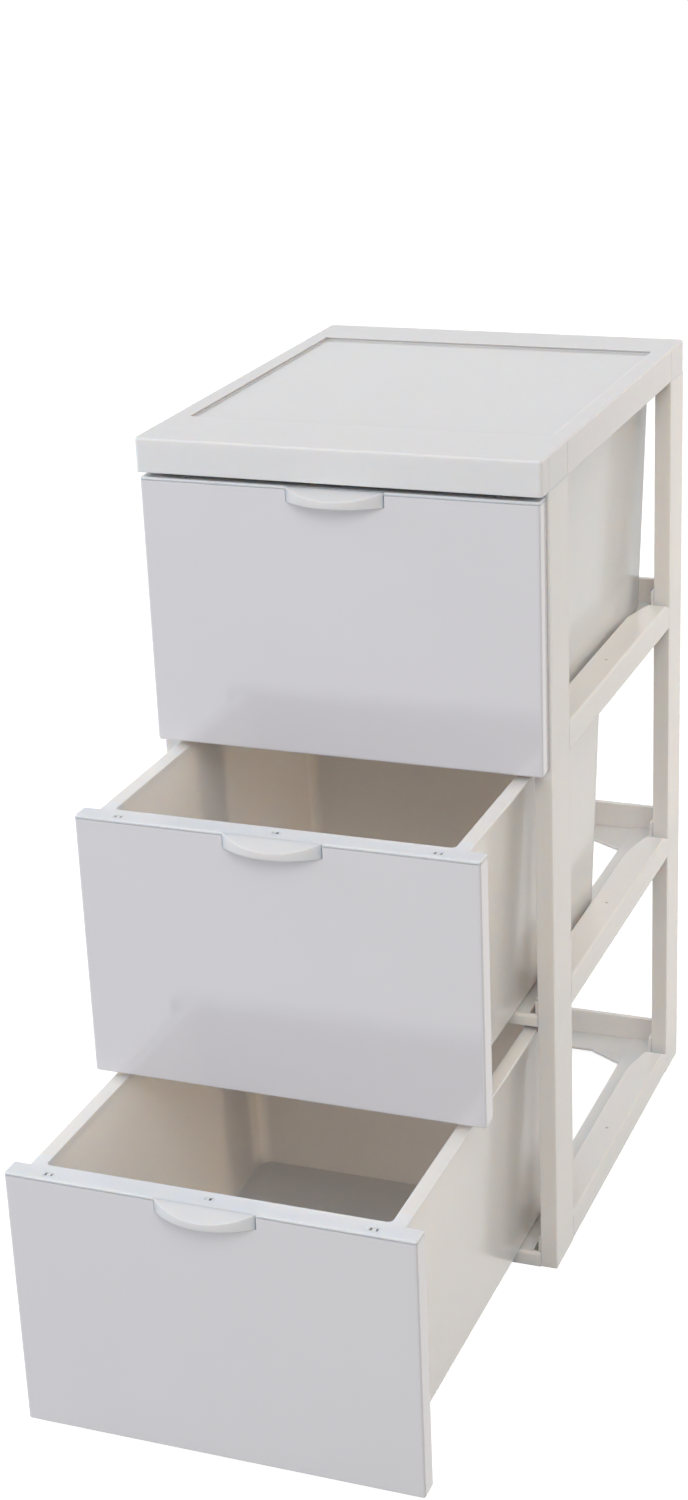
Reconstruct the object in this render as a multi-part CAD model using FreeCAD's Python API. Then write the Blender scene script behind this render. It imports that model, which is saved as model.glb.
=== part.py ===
import FreeCAD, Part
import math
import os

from FreeCAD import Vector

# A plastic tower of three drawers, in millimetres.
# X runs across the tower, Y from its front to its back, Z up from the floor.
# While a piece is built, Y is counted from the plane of the top cover's front edge.
# The drawers stand as they are stored: the upper one shut, the two below it pulled out.

# Overall sizes
tower_width = 300.0
tower_depth = 382.5
level_count = 3
level_pitch = 203.7
cover_rise = 26.9

# Frames that carry the drawers, one at the foot of each level
frame_height = 24.0
frame_lift = 2.5
frame_wall = 2.5
frame_edge_radius = 2.0
curb_inside_post = 9.8
runner_height = 11.5
runner_width = 15.5
front_bar_depth = 24.0
front_lip_depth = 5.5
front_lip_radius = 2.5
rear_wall_thickness = 4.0
rear_wall_height = 31.5
rear_flange_height = 10.0
rear_flange_depth = 27.5
rear_flange_wall = 2.5
gusset_width = 31.0
gusset_depth = 18.0
curb_flare_length = 32.0
curb_flare_back = 46.5
curb_fall_length = 11.0
curb_fall = 5.5
frame_rib = 2.0
side_bay_count = 4
front_bay_count = 5

# Tongues of the frames, which plug into the posts
tongue_reach = 9.6
tongue_height = 14.0
tongue_lift = 8.0
tongue_gap = 0.3

# Posts, open channels that face the inside of the tower
post_thickness = 13.2
front_post_width = 44.0
rear_post_width = 38.0
post_setback = 16.5
post_wall = 2.4
post_rib = 2.0
post_foot_plate = 3.0
post_foot_radius = 1.5
post_edge_radius = 0.8
tenon_height = 17.0

# Top cover
cover_height = 25.0
cover_plate = 5.0
cover_wall = 2.5
corner_radius = 3.0
cover_edge_radius = 1.5
recess_depth = 2.0
recess_side_margin = 13.7
recess_front_margin = 66.0
recess_rear_margin = 46.5
socket_gap = 0.2
socket_line_width = 0.6
socket_line_depth = 0.3
cover_rib = 1.8
cover_rib_depth = 10.0
cover_rib_count = 5

# Drawer fronts
front_face_setback = 1.0
front_shut_gap = 0.5
front_side_gap = 2.0
front_bottom_gap = 2.7
front_edge_radius = 2.0
drawer_top_gap = 4.2
panel_wall = 2.5
panel_rib = 2.0
panel_rib_count = 5
backing_plate = 2.5
backing_gap = 0.2

# Drawer boxes
strip_thickness = 2.4
strip_edge_radius = 1.0
rim_post_gap = 1.6
rim_width = 10.3
rim_rear_gap = 5.2
box_wall = 2.0
box_floor = 2.5
box_front_wall = 2.5
box_foot_side_gap = 6.2
box_rear_radius = 10.0
box_front_radius = 4.0
box_foot_radius = 4.0
runner_gap = 0.3

# Crescent pulls on the drawer boxes
pull_width = 73.4
pull_reach = 13.0
pull_skirt = 11.0
pull_fall = 5.8
pull_wall = 2.2

# Snap hooks that hold each front panel to its box
hook_offset = 116.8
side_hook_setback = 6.5
middle_hook_setback = 9.5
slot_width = 6.5
slot_depth = 3.6
hook_gap = 0.4
hook_sink = 0.3

# How far each drawer is pulled out, from the lower one up
drawer_travels = (281.0, 139.4, 0.0)

overrun = 1.0
same_place = 0.001

# Planes that several pieces share
half_width = tower_width / 2
tower_height = level_count * level_pitch + cover_rise
cover_foot = tower_height - cover_height
post_inner_x = half_width - post_thickness
curb_inner_x = post_inner_x - curb_inside_post
runner_inner_x = curb_inner_x - runner_width
rear_post_front = tower_depth - rear_post_width
front_post_back = post_setback + front_post_width
front_bar_back = post_setback + front_bar_depth
front_lip_back = post_setback + front_lip_depth
rear_wall_front = tower_depth - rear_wall_thickness
rear_flange_front = rear_wall_front - rear_flange_depth
front_half_width = half_width - front_side_gap
front_back_plane = post_setback - front_shut_gap
backing_front_plane = front_back_plane - backing_plate
rim_half_width = post_inner_x - rim_post_gap
box_mouth_half_width = rim_half_width - rim_width
box_top_half_width = box_mouth_half_width + box_wall
box_foot_half_width = curb_inner_x - box_foot_side_gap
rim_rear = tower_depth - rim_rear_gap
box_top_rear = rim_rear - rim_width + box_wall
tenon_inset = cover_wall + socket_gap
post_spans = ((post_setback, front_post_back), (rear_post_front, tower_depth))
hook_places = (
    (-hook_offset, front_face_setback + side_hook_setback),
    (0, front_face_setback + middle_hook_setback),
    (hook_offset, front_face_setback + side_hook_setback),
)

# The part's origin lies under the front wall of the lowest frame, on the floor
origin_setback = post_setback + frame_wall / 2

os.makedirs("parts", exist_ok=True)


def block(x_range, y_range, z_range):
    """A box between two places along each axis."""
    size = [high - low for low, high in (x_range, y_range, z_range)]
    return Part.makeBox(*size, Vector(x_range[0], y_range[0], z_range[0]))


def mirrored(shape):
    """The same shape on the other side of the tower."""
    return shape.mirror(Vector(0, 0, 0), Vector(1, 0, 0))


def with_mirror(shapes):
    """The shapes and their mirror images."""
    return list(shapes) + [mirrored(shape) for shape in shapes]


def joined(shapes):
    """One solid from shapes that touch or cross."""
    return shapes[0].fuse(shapes[1:]).removeSplitter()


def edges_at(shape, **place):
    """The edges whose ends all lie at the given X, Y or Z."""
    return [
        edge
        for edge in shape.Edges
        if all(
            abs(getattr(vertex, axis) - value) < same_place
            for vertex in edge.Vertexes
            for axis, value in place.items()
        )
    ]


def rounded(shape, radius, *places):
    """The shape with the edges at these places rounded."""
    edges = [edge for place in places for edge in edges_at(shape, **place)]
    return shape.makeFillet(radius, edges)


def outline(half, front, rear, front_radius, rear_radius, height):
    """A level wire round a mirrored rectangle with its own radius at the front and at the rear."""
    corners = (
        (half, front, front_radius, -90),
        (half, rear, rear_radius, 0),
        (-half, rear, rear_radius, 90),
        (-half, front, front_radius, 180),
    )
    curves = []
    for x, y, radius, start in corners:
        centre = Vector(x - math.copysign(radius, x), y + (radius if y == front else -radius), height)
        circle = Part.Circle(centre, Vector(0, 0, 1), radius)
        curves.append(Part.Arc(circle, math.radians(start), math.radians(start + 90)).toShape())
    edges = []
    for curve, following in zip(curves, curves[1:] + curves[:1]):
        end = curve.valueAt(curve.LastParameter)
        start = following.valueAt(following.FirstParameter)
        edges += [curve, Part.makeLine(end, start)]
    return Part.Wire(edges)


def prism(points, direction):
    """A polygon swept along a direction."""
    return Part.Face(Part.makePolygon(points + points[:1])).extrude(direction)


def level_foot(level):
    """Height of the line where a level starts."""
    return level * level_pitch


def frame_foot(level):
    """Height of the underside of a frame's rails, which the feet of the posts keep off the floor."""
    return level_foot(level) + frame_lift


def drawer_top(level):
    """Height of the upper face of a drawer, just under the rails of the frame above."""
    return frame_foot(level + 1) - drawer_top_gap


def bays(start, end, count, rib):
    """Equal hollows between two places, with a rib between neighbours."""
    length = (end - start - (count - 1) * rib) / count
    return [(start + i * (length + rib), start + i * (length + rib) + length) for i in range(count)]


def frame_side(level):
    """The curb and the runner on one side of a frame, with the tongues for two posts."""
    foot = frame_foot(level)
    top = level_foot(level) + frame_height
    runner_top = level_foot(level) + runner_height
    curb = block((curb_inner_x, half_width), (front_post_back, rear_post_front), (foot, top))
    curb = rounded(curb, frame_edge_radius, {"X": half_width, "Z": top})
    beside_front = block((curb_inner_x, post_inner_x), (front_lip_back, front_post_back), (foot, runner_top))
    pocket = block(
        (curb_inner_x + frame_wall, post_inner_x - frame_wall),
        (front_lip_back, front_post_back),
        (foot + frame_wall, top),
    )
    front_wall = block(
        (post_inner_x - frame_wall, post_inner_x),
        (front_lip_back, front_post_back),
        (foot, top),
    )
    rear_top = level_foot(level) + rear_wall_height
    beside_rear = block((curb_inner_x, post_inner_x), (rear_post_front, tower_depth), (foot, rear_top))
    runner = block((runner_inner_x, curb_inner_x), (front_lip_back, tower_depth), (foot, runner_top))
    flare_end = rear_wall_front - curb_flare_back
    flare_start = flare_end - curb_flare_length
    flared_x = post_inner_x - frame_wall
    flare = prism(
        [
            Vector(curb_inner_x - overrun, flare_start, runner_top),
            Vector(curb_inner_x, flare_start, runner_top),
            Vector(flared_x, flare_end, runner_top),
            Vector(flared_x, rear_wall_front, runner_top),
            Vector(curb_inner_x - overrun, rear_wall_front, runner_top),
        ],
        Vector(0, 0, rear_wall_height),
    )
    fall = prism(
        [
            Vector(curb_inner_x, rear_post_front - curb_fall_length, top),
            Vector(curb_inner_x, rear_post_front, top - curb_fall),
            Vector(curb_inner_x, rear_post_front, top + overrun),
            Vector(curb_inner_x, rear_post_front - curb_fall_length, top + overrun),
        ],
        Vector(post_thickness + curb_inside_post, 0, 0),
    )
    solid = joined([curb.cut(fall), beside_front.cut(pocket), front_wall, beside_rear, runner]).cut(flare)
    tongue_foot = level_foot(level) + tongue_lift
    tongue_heights = (tongue_foot, tongue_foot + tongue_height)
    inset = post_wall + tongue_gap
    tongues = [
        block(
            (post_inner_x - frame_wall, post_inner_x + tongue_reach),
            (front + inset, back - inset),
            tongue_heights,
        )
        for front, back in post_spans
    ]
    return joined([solid] + tongues), flare_start


def frame_hollows(level, flare_start):
    """The hollows under a frame, open to the floor, with ribs between them."""
    foot = level_foot(level) - overrun
    curb_roof = level_foot(level) + frame_height - frame_wall
    runner_roof = level_foot(level) + runner_height - frame_wall
    side = [
        block((curb_inner_x + frame_wall, half_width - frame_wall), bay, (foot, curb_roof))
        for bay in bays(front_post_back + frame_wall, flare_start, side_bay_count, frame_rib)
    ]
    side.append(
        block(
            (post_inner_x, half_width - frame_wall),
            (flare_start + frame_wall, rear_post_front - frame_wall),
            (foot, curb_roof),
        )
    )
    side += [
        block((runner_inner_x + frame_wall, curb_inner_x), bay, (foot, runner_roof))
        for bay in bays(front_bar_back, rear_flange_front, side_bay_count, frame_rib)
    ]
    reach = curb_inner_x - frame_wall
    across = [
        block(bay, (post_setback + frame_wall, front_bar_back - frame_wall), (foot, runner_roof))
        for bay in bays(-reach, reach, front_bay_count, frame_rib)
    ]
    return with_mirror(side) + across


def drawer_frame(level):
    """A ring that ties the four posts and carries one drawer on its two runners."""
    foot = frame_foot(level)
    runner_top = level_foot(level) + runner_height
    side, flare_start = frame_side(level)
    bar_foot = foot if level else 0
    bar = block((-curb_inner_x, curb_inner_x), (post_setback, front_bar_back), (bar_foot, runner_top))
    lip = block((-post_inner_x, post_inner_x), (post_setback, front_lip_back), (bar_foot, runner_top))
    lip_edges = ({"Y": post_setback, "Z": runner_top}, {"Y": front_lip_back, "Z": runner_top})
    front_bar = rounded(joined([bar, lip]), front_lip_radius, *lip_edges)
    flange_top = level_foot(level) + rear_flange_height
    flange_heights = (flange_top - rear_flange_wall, flange_top)
    flange = block((-curb_inner_x, curb_inner_x), (rear_flange_front, tower_depth), flange_heights)
    rear_wall = block(
        (-post_inner_x, post_inner_x),
        (rear_wall_front, tower_depth),
        (foot, level_foot(level) + rear_wall_height),
    )
    gusset = prism(
        [
            Vector(runner_inner_x - gusset_width, rear_flange_front, flange_heights[0]),
            Vector(runner_inner_x, rear_flange_front - gusset_depth, flange_heights[0]),
            Vector(runner_inner_x, rear_flange_front, flange_heights[0]),
        ],
        Vector(0, 0, rear_flange_wall),
    )
    ring = joined(with_mirror([side, gusset]) + [front_bar, flange, rear_wall])
    return ring.cut(frame_hollows(level, flare_start)).removeSplitter()


def post(front, back, foot_edges, corner_edges):
    """An upright channel, closed at its foot and by ribs, with a tenon for the top cover."""
    body = block((post_inner_x, half_width), (front, back), (0, cover_foot))
    body = rounded(body, post_foot_radius, *foot_edges)
    body = rounded(body, post_edge_radius, *corner_edges)
    hollow_x = (post_inner_x - overrun, half_width - post_wall)
    hollow_y = (front + post_wall, back - post_wall)
    tongue_foots = [level_foot(level) + tongue_lift for level in range(level_count)]
    ribs = []
    for tongue_foot in tongue_foots:
        tongue_top = tongue_foot + tongue_height + tongue_gap
        middle = (tongue_top + tongue_foot + level_pitch) / 2
        ribs += [tongue_foot - post_rib, tongue_top, middle]
    starts = [post_foot_plate] + [rib + post_rib for rib in ribs]
    ends = ribs + [cover_foot - post_wall]
    hollows = [
        block(hollow_x, hollow_y, (start, end))
        for start, end in zip(starts, ends)
        if end - start > same_place
    ]
    tenon = block(
        (post_inner_x, half_width - tenon_inset),
        (front + tenon_inset, back - tenon_inset),
        (cover_foot, cover_foot + tenon_height),
    )
    tenon_hollow = block(
        (post_inner_x - overrun, half_width - tenon_inset - post_wall),
        (front + tenon_inset + post_wall, back - tenon_inset - post_wall),
        (cover_foot + post_wall, cover_foot + tenon_height - post_wall),
    )
    return joined([body.cut(hollows), tenon.cut(tenon_hollow)])


def front_post():
    """The right front post, whose foot is rounded on its outer and front sides."""
    foot_edges = ({"X": half_width, "Z": 0}, {"Y": post_setback, "Z": 0})
    corner_edges = (
        {"X": half_width, "Y": post_setback},
        {"X": half_width, "Y": front_post_back},
    )
    return post(*post_spans[0], foot_edges, corner_edges)


def rear_post():
    """The right rear post, whose foot is rounded on its outer and rear sides."""
    foot_edges = ({"X": half_width, "Z": 0}, {"Y": tower_depth, "Z": 0})
    corner_edges = (
        {"X": half_width, "Y": rear_post_front},
        {"X": half_width, "Y": tower_depth},
    )
    return post(*post_spans[1], foot_edges, corner_edges)


def cover_sockets():
    """Walls under the cover that hold the tenons of the right posts, and their lines outside."""
    plate_foot = tower_height - cover_plate
    walls = []
    lines = []
    for front, back in post_spans:
        outer = block(
            (post_inner_x - tenon_inset, half_width - cover_wall),
            (front, back),
            (cover_foot, plate_foot),
        )
        hollow = block(
            (post_inner_x - socket_gap, half_width),
            (front + cover_wall, back - cover_wall),
            (cover_foot - overrun, plate_foot),
        )
        walls.append(outer.cut(hollow))
        for edge in (front, back):
            if edge < tower_depth:
                line_x = (half_width - socket_line_depth, half_width + overrun)
                line_y = (edge - socket_line_width / 2, edge + socket_line_width / 2)
                lines.append(block(line_x, line_y, (cover_foot - overrun, tower_height - cover_edge_radius)))
    return walls, lines


def top_cover():
    """The cover: a tray-topped plate with a skirt, ribs and four post sockets underneath."""
    body = block((-half_width, half_width), (0, tower_depth), (cover_foot, tower_height))
    corners = [{"X": x, "Y": y} for x in (-half_width, half_width) for y in (0, tower_depth)]
    body = rounded(body, corner_radius, *corners)
    top_edges = [edge for edge in body.Edges if abs(edge.BoundBox.ZMin - tower_height) < same_place]
    body = body.makeFillet(cover_edge_radius, top_edges)
    plate_foot = tower_height - cover_plate
    inner_x = half_width - cover_wall
    inner_y = (cover_wall, tower_depth - cover_wall)
    hollow = block((-inner_x, inner_x), inner_y, (cover_foot - overrun, plate_foot))
    recess_wire = outline(
        half_width - recess_side_margin,
        recess_front_margin,
        tower_depth - recess_rear_margin,
        cover_edge_radius,
        cover_edge_radius,
        tower_height - recess_depth,
    )
    recess = Part.Face(recess_wire).extrude(Vector(0, 0, recess_depth + overrun))
    rib_foot = plate_foot - cover_rib_depth
    ribs = []
    for i in range(cover_rib_count):
        y = inner_y[0] + (inner_y[1] - inner_y[0]) * (i + 1) / (cover_rib_count + 1)
        x = -inner_x + 2 * inner_x * (i + 1) / (cover_rib_count + 1)
        ribs.append(block((-inner_x, inner_x), (y - cover_rib / 2, y + cover_rib / 2), (rib_foot, plate_foot)))
        ribs.append(block((x - cover_rib / 2, x + cover_rib / 2), inner_y, (rib_foot, plate_foot)))
    walls, lines = cover_sockets()
    shell = body.cut([hollow, recess])
    return joined([shell] + ribs + with_mirror(walls)).cut(with_mirror(lines))


def crescent(radius_cut, foot, top):
    """A half-moon block in front of the drawer's face, smaller all round by the given cut."""
    radius = (pull_width ** 2 / 4 + pull_reach ** 2) / (2 * pull_reach)
    centre_y = front_face_setback - pull_reach + radius
    disc = Part.makeCylinder(radius - radius_cut, top - foot, Vector(0, centre_y, foot))
    reach = pull_width / 2
    window = block((-reach, reach), (front_face_setback - pull_reach, front_face_setback), (foot, top))
    return disc.common(window)


def pull_slope(top, rise):
    """The space above the sloping top of the pull."""
    front = front_face_setback - pull_reach
    return prism(
        [
            Vector(-half_width, front_face_setback, top),
            Vector(-half_width, front, top - pull_fall),
            Vector(-half_width, front - overrun, top - pull_fall),
            Vector(-half_width, front - overrun, top + rise),
            Vector(-half_width, front_face_setback, top + rise),
        ],
        Vector(tower_width, 0, 0),
    )


def crescent_pull(top):
    """The half-moon lip: a sloping top with a skirt round it, open below for the fingers."""
    foot = top - pull_skirt
    outer = crescent(0, foot, top).cut(pull_slope(top, overrun))
    finger_space = crescent(pull_wall, foot - overrun, top)
    finger_space = finger_space.cut(pull_slope(top - strip_thickness, pull_skirt))
    return outer.cut(finger_space)


def box_loft(foot, top, cut, low, high):
    """The tapered inside or outside of a drawer box between two heights."""
    lean = (box_top_half_width - box_foot_half_width) / (top - foot)
    front = front_back_plane + (box_front_wall if cut else 0)
    wires = []
    for height in (low, high):
        drop = (top - height) * lean
        wires.append(
            outline(
                box_top_half_width - drop - cut,
                front,
                box_top_rear - drop - cut,
                box_front_radius,
                box_rear_radius - cut,
                height,
            )
        )
    return Part.makeLoft(wires, True, True)


def drawer_box(level):
    """A drawer's open box with its rim, its top strip with the pull, and the plate behind its panel."""
    foot = level_foot(level) + runner_height + runner_gap
    top = drawer_top(level)
    rim_foot = top - strip_thickness
    shell = box_loft(foot, top, 0, foot, top)
    foot_edges = [edge for edge in shell.Edges if abs(edge.BoundBox.ZMax - foot) < same_place]
    shell = shell.makeFillet(box_foot_radius, foot_edges)
    overhang = rim_half_width - box_top_half_width
    rim_wire = outline(
        rim_half_width,
        front_back_plane,
        rim_rear,
        strip_edge_radius,
        box_rear_radius + overhang,
        rim_foot,
    )
    rim = Part.Face(rim_wire).extrude(Vector(0, 0, strip_thickness))
    strip = block(
        (-front_half_width, front_half_width),
        (front_face_setback, front_back_plane),
        (rim_foot, top),
    )
    ends = [{"X": x, "Y": front_face_setback} for x in (-front_half_width, front_half_width)]
    strip = rounded(strip, front_edge_radius, *ends)
    strip = rounded(strip, strip_edge_radius, {"Y": front_face_setback, "Z": top})
    backing_half = front_half_width - panel_wall - backing_gap
    backing = block(
        (-backing_half, backing_half),
        (backing_front_plane, front_back_plane),
        (level_foot(level) + front_bottom_gap + panel_wall + backing_gap, rim_foot),
    )
    inside = box_loft(foot, top, box_wall, foot + box_floor, top + overrun)
    slots = [
        block(
            (x - slot_width / 2, x + slot_width / 2),
            (y - slot_depth / 2, y + slot_depth / 2),
            (rim_foot - overrun, top + overrun),
        )
        for x, y in hook_places
    ]
    solid = joined([shell, rim, backing]).cut(inside)
    return joined([solid, strip, crescent_pull(top)]).cut(slots)


def front_panel(level):
    """The facing of a drawer: a shallow tray with ribs, hooked under the strip of its box."""
    foot = level_foot(level) + front_bottom_gap
    top = drawer_top(level) - strip_thickness
    body = block((-front_half_width, front_half_width), (front_face_setback, front_back_plane), (foot, top))
    edges = [{"X": x, "Y": front_face_setback} for x in (-front_half_width, front_half_width)]
    edges += [{"X": x, "Z": foot} for x in (-front_half_width, front_half_width)]
    edges.append({"Y": front_face_setback, "Z": foot})
    body = rounded(body, front_edge_radius, *edges)
    inner_x = front_half_width - panel_wall
    inner_y = front_face_setback + panel_wall
    inner_z = (foot + panel_wall, top - panel_wall)
    hollow = block((-inner_x, inner_x), (inner_y, front_back_plane + overrun), inner_z)
    ribs = []
    for i in range(panel_rib_count):
        x = -inner_x + 2 * inner_x * (i + 1) / (panel_rib_count + 1)
        ribs.append(block((x - panel_rib / 2, x + panel_rib / 2), (inner_y, backing_front_plane), inner_z))
    hook_x = slot_width / 2 - hook_gap
    hook_y = slot_depth / 2 - hook_gap
    hooks = [
        block((x - hook_x, x + hook_x), (y - hook_y, y + hook_y), (top, top + strip_thickness - hook_sink))
        for x, y in hook_places
    ]
    backing_top_gap = block(
        (-inner_x, inner_x),
        (backing_front_plane, front_back_plane + overrun),
        (inner_z[1] - overrun, top),
    )
    return joined([body.cut([hollow, backing_top_gap])] + ribs + hooks)


def save(name, shape):
    """Move a finished piece into the part's own frame and write it to its file."""
    placed = shape.copy()
    placed.translate(Vector(0, -origin_setback, 0))
    placed.exportStep(f"parts/{name}.step")
    print(name, "solids", len(placed.Solids), "valid", placed.isValid(), "volume", round(placed.Volume))


save("top_cover", top_cover())

right_posts = {"front": front_post(), "rear": rear_post()}
for end, right_post in right_posts.items():
    save(f"{end}_right_post", right_post)
    save(f"{end}_left_post", mirrored(right_post))

for level, name in enumerate(("base_frame", "lower_shelf_frame", "upper_shelf_frame")):
    save(name, drawer_frame(level))

for level, name in enumerate(("lower", "middle", "upper")):
    pulled_out = Vector(0, -drawer_travels[level], 0)
    for kind, shape in (("drawer_box", drawer_box(level)), ("front_panel", front_panel(level))):
        shape.translate(pulled_out)
        save(f"{name}_{kind}", shape)
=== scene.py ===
import math

import bpy
from mathutils import Matrix, Vector


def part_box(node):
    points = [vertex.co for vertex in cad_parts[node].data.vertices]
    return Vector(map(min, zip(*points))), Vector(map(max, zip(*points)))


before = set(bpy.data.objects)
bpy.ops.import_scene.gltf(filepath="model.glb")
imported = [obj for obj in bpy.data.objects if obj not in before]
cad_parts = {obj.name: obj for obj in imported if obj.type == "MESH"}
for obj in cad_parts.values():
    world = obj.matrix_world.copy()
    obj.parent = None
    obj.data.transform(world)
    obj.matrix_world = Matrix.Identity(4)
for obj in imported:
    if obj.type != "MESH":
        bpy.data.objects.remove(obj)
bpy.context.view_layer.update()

# A plastic drawer tower, in metres. +Z is up and the front faces -Y.

# Camera of the photograph: where it stands, how it is turned, and its lens. The focal length, the
# image's height and the offset of the lens's centre are in the photograph's pixels.
IMAGE_HEIGHT = 1500.0
SENSOR = 36.0
FOCAL_PIXELS = 2561.3
CENTRE_OFFSET = (30.4, 53.9)
CAMERA_PLACE = (0.6432, -1.6052, 1.0799)
CAMERA_FORWARD = (-0.33730, 0.86093, -0.38083)
CAMERA_UP = (-0.10237, 0.36860, 0.92393)
CLIP_NEAR = 0.05
CLIP_FAR = 200.0

# Floor and world. The glow and the seen strength are for the camera and reflections alone.
WHITE = (1.0, 1.0, 1.0, 1.0)
WORLD_STRENGTH = 0.4
WORLD_SEEN = 1.0
FLOOR_COLOUR = (0.34, 0.33, 0.315, 1.0)
FLOOR_GLOW = 0.92
FLOOR_REACH = 40.0

# Soft lamps: name, place, width and height, power, colour
LAMPS = (
    ("key_left", (-2.8, 0.2, 1.4), (1.8, 1.8), 44.0, (0.864, 0.909, 1.0)),
    ("low_left", (-1.6, -2.8, 0.7), (1.4, 1.0), 22.1, (0.87, 0.926, 1.0)),
    ("front_left", (-2.0, -2.6, 1.9), (2.0, 2.0), 9.7, (0.87, 0.926, 1.0)),
    ("high_front", (1.2, -2.2, 2.6), (1.5, 1.5), 33.0, (1.0, 0.971, 0.951)),
    ("fill_right", (2.4, -2.0, 1.3), (1.8, 1.8), 6.0, (1.0, 0.877, 0.772)),
    ("near_right", (0.9, 0.8, 0.72), (0.5, 0.5), 3.2, (1.0, 0.877, 0.772)),
)
LAMP_AIM = (0.0, 0.05, 0.3)

# Rounding of the moulded edges: in shading on every piece, and in shape on the posts
EDGE_RADIUS = 0.0006
EDGE_SAMPLES = 4
POST_EDGE = 0.0008
POST_EDGE_SEGMENTS = 2
SHARP_ANGLE = math.radians(40.0)
FLAT_ANGLE = math.radians(0.5)
WELD_DISTANCE = 0.00001

# What all the plastics share. Clouds and gloss patches are in features per metre.
CLOUD_SCALE = 7.0
CLOUD_RANGE = (0.30, 0.70)
GLOSS_SCALE = 38.0
PLASTIC_IOR = 1.49
COAT_IOR = 1.5
GLOW_BY_COLOUR = (1.0, 0.78, 0.60)

# The cover's tray: its floor, and its low walls, which are painted dark as shade
COVER_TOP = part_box("top_cover")[1][2]
TRAY_FLOOR = {
    "X": (-0.1363, 0.1363),
    "Y": (0.0483, 0.3183),
    "Z": (COVER_TOP - 0.0026, COVER_TOP - 0.0017),
}
TRAY_FLOOR_EDGE = 0.0003
TRAY_WALL_PAINTED_SHADE = {
    "X": (-0.1385, 0.1385),
    "Y": (0.0461, 0.3205),
    "Z": (COVER_TOP - 0.0016, COVER_TOP - 0.0004),
}
TRAY_WALL_SHADE_EDGE = 0.0002

# The gate mark in the middle of each curb: a small bump dimple, painted dark as its shade
GATE_X = 0.1385
GATE_Y = 0.1787
GATE_HALF = 0.0006
GATE_EDGE = 0.0009
GATE_DIMPLES_AND_SHADE = [
    {
        "X": (side * GATE_X - GATE_HALF, side * GATE_X + GATE_HALF),
        "Y": (GATE_Y - GATE_HALF, GATE_Y + GATE_HALF),
    }
    for side in (-1.0, 1.0)
]
MARK_DEPTH = 0.0004

# The pull and the strip over the front, as shares of the drawer box. Both are tinted a cool
# white, and the pull is painted darker than the strip as shade on its forward-sloping top
PULL_TINT_AND_SHADE = {"Y": (None, 0.034), "Z": (0.9, None)}
TOP_STRIP = {"Y": (0.036, 0.108), "Z": (0.95, None)}
SHARE_EDGE = 0.002

# The hooks' tops in the strip's slots, and the gaps beside them, as shares of the front panel.
# The hooks' tops are painted lighter than the panel as light on a top face, and the gaps are
# painted near black on the hooks' tops as shade. A gap's place along the panel and half its width
# are in metres.
PANEL_WIDTH = 0.296
PANEL_MIDDLE = 0.5
HOOK_HEIGHT = (0.992, None)
HOOK_TOPS_PAINTED_LIGHT = {"Z": HOOK_HEIGHT}
HOOK_GAP_SHADE_EDGE = 0.0008
HOOK_GAP_PAINTED_SHADE = [
    {
        "X": (
            PANEL_MIDDLE + (place - half) / PANEL_WIDTH,
            PANEL_MIDDLE + (place + half) / PANEL_WIDTH,
        ),
        "Z": HOOK_HEIGHT,
    }
    for place, half in (
        (-0.1190, 0.0004),
        (-0.1150, 0.0004),
        (0.0006, 0.0008),
        (0.1147, 0.0005),
        (0.1188, 0.0004),
    )
]


# ---------------------------------------------------------------- materials


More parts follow.
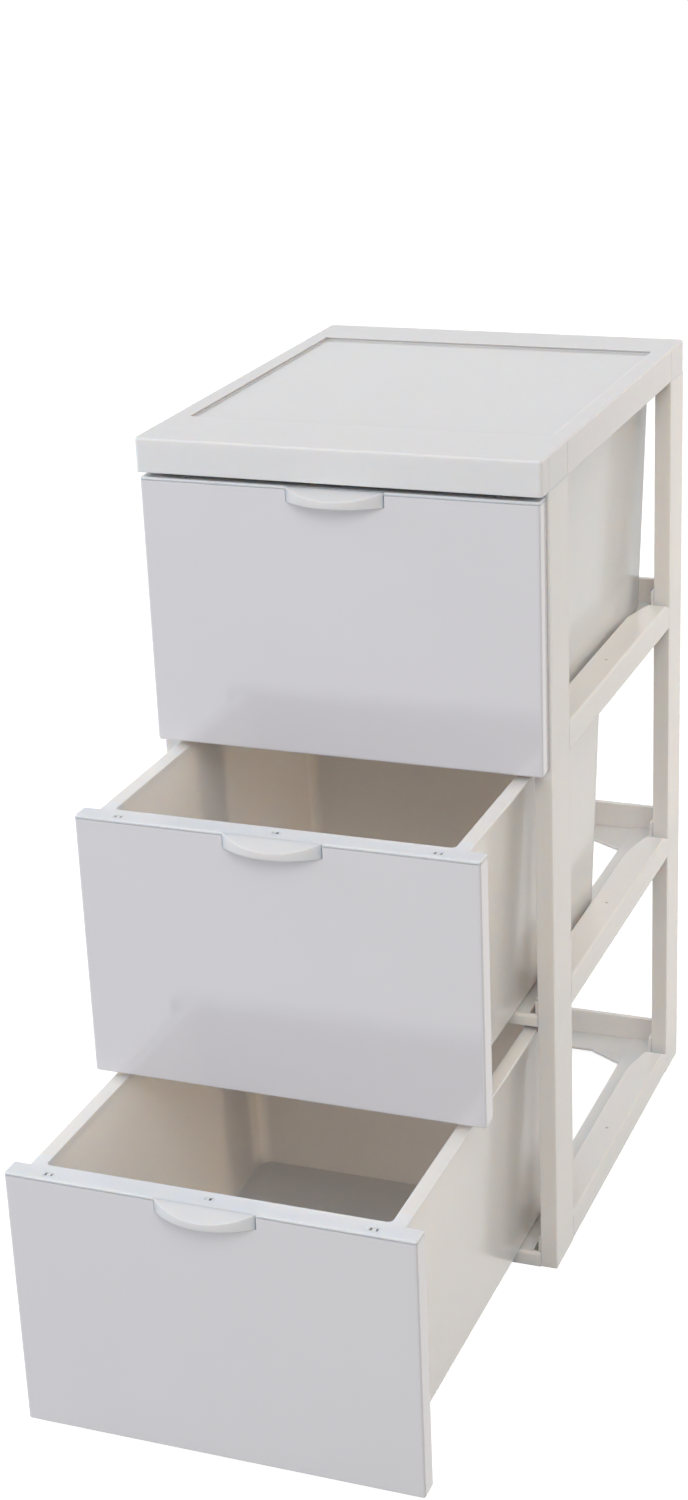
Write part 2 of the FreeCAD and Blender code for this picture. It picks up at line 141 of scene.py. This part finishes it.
class Graph:
    """A node material that is built up call by call."""

    def __init__(self, name):
        self.material = bpy.data.materials.new(name)
        self.material.use_nodes = True
        self.tree = self.material.node_tree
        self.tree.nodes.clear()
        self.output = self.tree.nodes.new("ShaderNodeOutputMaterial")

    def add(self, kind, **values):
        node = self.tree.nodes.new(kind)
        for key, value in values.items():
            setattr(node, key, value)
        return node

    def link(self, source, target):
        self.tree.links.new(source, target)

    def noise(self, scale, detail=2.0, roughness=0.5):
        """Noise that lies still on the piece, with the scale in features per metre."""
        texture = self.add("ShaderNodeTexCoord")
        mapping = self.add("ShaderNodeMapping")
        mapping.inputs["Scale"].default_value = (scale,) * 3
        self.link(texture.outputs["Object"], mapping.inputs["Vector"])
        noise = self.add("ShaderNodeTexNoise")
        noise.inputs["Scale"].default_value = 1.0
        noise.inputs["Detail"].default_value = detail
        noise.inputs["Roughness"].default_value = roughness
        self.link(mapping.outputs["Vector"], noise.inputs["Vector"])
        return noise.outputs["Fac"]

    def spread(self, value, low, high, source=(0.3, 0.7)):
        """The value mapped from its source range, a noise's usual one, to low and high."""
        node = self.add("ShaderNodeMapRange")
        node.inputs["From Min"].default_value = source[0]
        node.inputs["From Max"].default_value = source[1]
        node.inputs["To Min"].default_value = low
        node.inputs["To Max"].default_value = high
        self.link(value, node.inputs["Value"])
        return node.outputs["Result"]

    def ramp(self, value, low, high):
        """The colour low at the start of the clouds' range, and high at its end."""
        node = self.add("ShaderNodeValToRGB")
        for element, place, colour in zip(node.color_ramp.elements, CLOUD_RANGE, (low, high)):
            element.position = place
            element.color = (*colour, 1.0)
        self.link(value, node.inputs["Fac"])
        return node.outputs["Color"]

    def multiply(self, first, second):
        node = self.add("ShaderNodeMath", operation="MULTIPLY")
        for value, socket in ((first, node.inputs[0]), (second, node.inputs[1])):
            if isinstance(value, bpy.types.NodeSocket):
                self.link(value, socket)
            else:
                socket.default_value = value
        return node.outputs["Value"]

    def region(self, limits, edge, source="Object"):
        """1 where every coordinate lies inside its limits, falling to 0 over the edge.

        limits maps "X", "Y" or "Z" to (low, high), and either may be None. The source "Object"
        counts in metres, and "Generated" in shares of the piece's box.
        """
        texture = self.add("ShaderNodeTexCoord")
        axes = self.add("ShaderNodeSeparateXYZ")
        self.link(texture.outputs[source], axes.inputs["Vector"])
        inside = None
        for axis, (low, high) in limits.items():
            for limit, side in ((low, -1.0), (high, 1.0)):
                if limit is None:
                    continue
                step = self.spread(axes.outputs[axis], 1.0, 0.0, (limit, limit + side * edge))
                inside = step if inside is None else self.multiply(inside, step)
        return inside

    def blend(self, share, first, second, kind="RGBA"):
        """The first value, or the second where the share is 1."""
        node = self.add("ShaderNodeMix", data_type=kind)
        sockets = [socket for socket in node.inputs if socket.enabled]
        outputs = [socket for socket in node.outputs if socket.enabled]
        self.link(share, sockets[0])
        for value, socket in ((first, sockets[-2]), (second, sockets[-1])):
            if isinstance(value, bpy.types.NodeSocket):
                self.link(value, socket)
            else:
                socket.default_value = (*value, 1.0)
        return outputs[0]

    def bump(self, height, distance, normal):
        """The normal of a surface that rises by distance, in metres, where the height is 1."""
        node = self.add("ShaderNodeBump")
        node.inputs["Strength"].default_value = 1.0
        node.inputs["Distance"].default_value = distance
        self.link(height, node.inputs["Height"])
        self.link(normal, node.inputs["Normal"])
        return node.outputs["Normal"]


def moulded_plastic(
    name,
    light,
    dark,
    roughness,
    grain,
    coat=0.0,
    coat_roughness=0.0,
    glow_depth=0.0,
    region_colours=(),
    polished=None,
    shaded_dimples=None,
):
    """Injection-moulded plastic: faint clouds of tone, a gloss that varies, a surface never flat.

    roughness is (least, most). grain is a list of (features per metre, height in metres).
    region_colours is a list of (limits, edge, source, colour): plain tints of the plastic, and
    painted light and painted shade on some faces. polished is (limits, edge, roughness).
    shaded_dimples is (limits of each, edge, source, colour, depth): hollows made by bump, with
    painted shade in their colour.
    """
    graph = Graph(name)
    shader = graph.add("ShaderNodeBsdfPrincipled")
    shader.inputs["IOR"].default_value = PLASTIC_IOR

    clouds = graph.noise(CLOUD_SCALE, 4.0, 0.55)
    colour = graph.ramp(clouds, dark, light)
    # Colours by region: plain tints, and painted light and painted shade on some faces
    for limits, edge, source, region_colour in region_colours:
        shade = tuple(channel * dark[1] / light[1] for channel in region_colour)
        region_clouds = graph.ramp(clouds, shade, region_colour)
        colour = graph.blend(graph.region(limits, edge, source), colour, region_clouds)

    gloss = graph.noise(GLOSS_SCALE, 3.0, 0.6)
    rough = graph.spread(gloss, *roughness)
    if polished:
        limits, edge, shine = polished
        inside = graph.region(limits, edge)
        rough = graph.blend(inside, rough, graph.spread(gloss, *shine), "FLOAT")
    graph.link(rough, shader.inputs["Roughness"])

    if glow_depth:
        shader.inputs["Subsurface Weight"].default_value = 1.0
        shader.inputs["Subsurface Radius"].default_value = GLOW_BY_COLOUR
        shader.inputs["Subsurface Scale"].default_value = glow_depth
    if coat:
        shader.inputs["Coat Weight"].default_value = coat
        shader.inputs["Coat Roughness"].default_value = coat_roughness
        shader.inputs["Coat IOR"].default_value = COAT_IOR

    rounded = graph.add("ShaderNodeBevel", samples=EDGE_SAMPLES)
    rounded.inputs["Radius"].default_value = EDGE_RADIUS
    normal = rounded.outputs["Normal"]
    for features, height in grain:
        normal = graph.bump(graph.noise(features), height, normal)
    # Each dimple is a bump hollow with painted shade blended into its colour
    if shaded_dimples:
        places, edge, source, painted_hollow_shade, depth = shaded_dimples
        for limits in places:
            hollow = graph.region(limits, edge, source)
            colour = graph.blend(hollow, colour, painted_hollow_shade)
            normal = graph.bump(hollow, -depth, normal)

    graph.link(colour, shader.inputs["Base Color"])
    graph.link(normal, shader.inputs["Normal"])
    if coat:
        graph.link(normal, shader.inputs["Coat Normal"])
    graph.link(shader.outputs["BSDF"], graph.output.inputs["Surface"])
    return graph.material


COVER = moulded_plastic(
    "cover_plastic",
    light=(0.815, 0.812, 0.818),
    dark=(0.800, 0.797, 0.802),
    roughness=(0.19, 0.25),
    grain=((900.0, 0.000004), (60.0, 0.00001)),
    glow_depth=0.003,
    # The tray's low walls get painted shade: a dark colour where shade falls inside the tray
    region_colours=((TRAY_WALL_PAINTED_SHADE, TRAY_WALL_SHADE_EDGE, "Object", (0.50, 0.485, 0.47)),),
    polished=(TRAY_FLOOR, TRAY_FLOOR_EDGE, (0.09, 0.12)),
)
FRAME = moulded_plastic(
    "frame_plastic",
    light=(0.848, 0.834, 0.812),
    dark=(0.830, 0.815, 0.792),
    roughness=(0.16, 0.24),
    grain=((1100.0, 0.000004), (45.0, 0.00001)),
    glow_depth=0.003,
    # The gate marks' dimples are painted dark: painted shade
    shaded_dimples=(GATE_DIMPLES_AND_SHADE, GATE_EDGE, "Object", (0.50, 0.46, 0.41), MARK_DEPTH),
)
SHELL = moulded_plastic(
    "drawer_plastic",
    light=(0.905, 0.858, 0.822),
    dark=(0.889, 0.840, 0.802),
    roughness=(0.13, 0.20),
    grain=((1000.0, 0.000004), (40.0, 0.00001)),
    glow_depth=0.005,
    region_colours=(
        # The pull's cool tint is its plastic's; its darker tone is painted shade
        (PULL_TINT_AND_SHADE, SHARE_EDGE, "Generated", (0.765, 0.760, 0.770)),
        (TOP_STRIP, SHARE_EDGE, "Generated", (0.885, 0.882, 0.890)),
    ),
)
GLOSS = moulded_plastic(
    "gloss_plastic",
    light=(0.706, 0.697, 0.726),
    dark=(0.692, 0.683, 0.712),
    roughness=(0.08, 0.12),
    grain=((700.0, 0.000001), (25.0, 0.000005)),
    coat=0.8,
    coat_roughness=0.04,
    # The hooks' tops are painted lighter than the rest of the panel: painted light
    region_colours=((HOOK_TOPS_PAINTED_LIGHT, SHARE_EDGE, "Generated", (0.860, 0.857, 0.865)),),
    # The gaps beside the hooks are painted near black on the hooks' tops: painted shade
    shaded_dimples=(HOOK_GAP_PAINTED_SHADE, HOOK_GAP_SHADE_EDGE, "Generated", (0.10, 0.095, 0.09), MARK_DEPTH),
)


def plastic_of(name):
    """The plastic of the node, by the end of its name."""
    for ending, plastic in (("cover", COVER), ("front_panel", GLOSS), ("drawer_box", SHELL)):
        if name.endswith(ending):
            return plastic
    return FRAME


def soften_edges(piece):
    """Round off every sharp edge a little, as a mould does."""
    weld = piece.modifiers.new("weld", "WELD")
    weld.merge_threshold = WELD_DISTANCE
    flat = piece.modifiers.new("whole_faces", "DECIMATE")
    flat.decimate_type = "DISSOLVE"
    flat.angle_limit = FLAT_ANGLE
    bevel = piece.modifiers.new("soft_edges", "BEVEL")
    bevel.width = POST_EDGE
    bevel.segments = POST_EDGE_SEGMENTS
    bevel.limit_method = "ANGLE"
    bevel.angle_limit = SHARP_ANGLE
    bevel.use_clamp_overlap = False
    shading = piece.modifiers.new("smooth_shading", "WEIGHTED_NORMAL")
    shading.keep_sharp = False


for name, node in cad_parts.items():
    node.data.materials.clear()
    node.data.materials.append(plastic_of(name))
    if name.endswith("post"):
        soften_edges(node)


# ---------------------------------------------------------------- floor, lights, camera


def add_object(name, data):
    """A new object in the scene."""
    made = bpy.data.objects.new(name, data)
    bpy.context.scene.collection.objects.link(made)
    return made


def seen_by_eye(tree):
    """1 for the camera and for what it sees in gloss or through glass, else 0."""
    path = tree.nodes.new("ShaderNodeLightPath")
    total = path.outputs["Is Camera Ray"]
    for other in ("Is Glossy Ray", "Is Transmission Ray"):
        either = tree.nodes.new("ShaderNodeMath")
        either.operation = "MAXIMUM"
        tree.links.new(total, either.inputs[0])
        tree.links.new(path.outputs[other], either.inputs[1])
        total = either.outputs[0]
    return total


def white_stage():
    """A wide pale floor that the camera sees as white and that still takes a faint shadow."""
    mesh = bpy.data.meshes.new("floor")
    turns = ((-1.0, -1.0), (1.0, -1.0), (1.0, 1.0), (-1.0, 1.0))
    corners = [(x * FLOOR_REACH, y * FLOOR_REACH, 0.0) for x, y in turns]
    mesh.from_pydata(corners, [], [(0, 1, 2, 3)])
    floor = add_object("floor", mesh)

    graph = Graph("floor_paint")
    diffuse = graph.add("ShaderNodeBsdfDiffuse")
    diffuse.inputs["Color"].default_value = FLOOR_COLOUR
    glow = graph.add("ShaderNodeEmission")
    glow.inputs["Color"].default_value = WHITE
    strength = graph.multiply(seen_by_eye(graph.tree), FLOOR_GLOW)
    graph.link(strength, glow.inputs["Strength"])
    total = graph.add("ShaderNodeAddShader")
    graph.link(diffuse.outputs["BSDF"], total.inputs[0])
    graph.link(glow.outputs["Emission"], total.inputs[1])
    graph.link(total.outputs["Shader"], graph.output.inputs["Surface"])
    mesh.materials.append(graph.material)


def white_world():
    """Even light from all round, which the camera sees as plain white."""
    world = bpy.data.worlds.new("studio")
    bpy.context.scene.world = world
    world.use_nodes = True
    tree = world.node_tree
    tree.nodes.clear()
    output = tree.nodes.new("ShaderNodeOutputWorld")
    background = tree.nodes.new("ShaderNodeBackground")
    background.inputs["Color"].default_value = WHITE
    level = tree.nodes.new("ShaderNodeMapRange")
    level.inputs["To Min"].default_value = WORLD_STRENGTH
    level.inputs["To Max"].default_value = WORLD_SEEN
    tree.links.new(seen_by_eye(tree), level.inputs["Value"])
    tree.links.new(level.outputs["Result"], background.inputs["Strength"])
    tree.links.new(background.outputs["Background"], output.inputs["Surface"])


def soft_box(name, place, size, power, colour):
    """A large lamp that shines from its place towards the aim."""
    lamp = bpy.data.lights.new(name, "AREA")
    lamp.shape = "RECTANGLE"
    lamp.size, lamp.size_y = size
    lamp.energy = power
    lamp.color = colour
    holder = add_object(name, lamp)
    holder.location = place
    holder.rotation_mode = "QUATERNION"
    holder.rotation_quaternion = (Vector(LAMP_AIM) - Vector(place)).to_track_quat("-Z", "Y")
    holder.visible_camera = False


def photo_camera():
    """The camera of the photograph."""
    camera = bpy.data.cameras.new("photo_camera")
    camera.sensor_fit = "AUTO"
    camera.sensor_width = SENSOR
    camera.lens = FOCAL_PIXELS / IMAGE_HEIGHT * SENSOR
    camera.shift_x = -CENTRE_OFFSET[0] / IMAGE_HEIGHT
    camera.shift_y = CENTRE_OFFSET[1] / IMAGE_HEIGHT
    camera.clip_start = CLIP_NEAR
    camera.clip_end = CLIP_FAR
    holder = add_object("photo_camera", camera)
    forward = Vector(CAMERA_FORWARD).normalized()
    right = forward.cross(Vector(CAMERA_UP)).normalized()
    up = right.cross(forward)
    turn = Matrix((right, up, -forward)).transposed()
    holder.matrix_world = Matrix.Translation(CAMERA_PLACE) @ turn.to_4x4()
    bpy.context.scene.camera = holder


white_stage()
white_world()
for lamp in LAMPS:
    soft_box(*lamp)
photo_camera()

bpy.context.scene.view_settings.view_transform = "Standard"
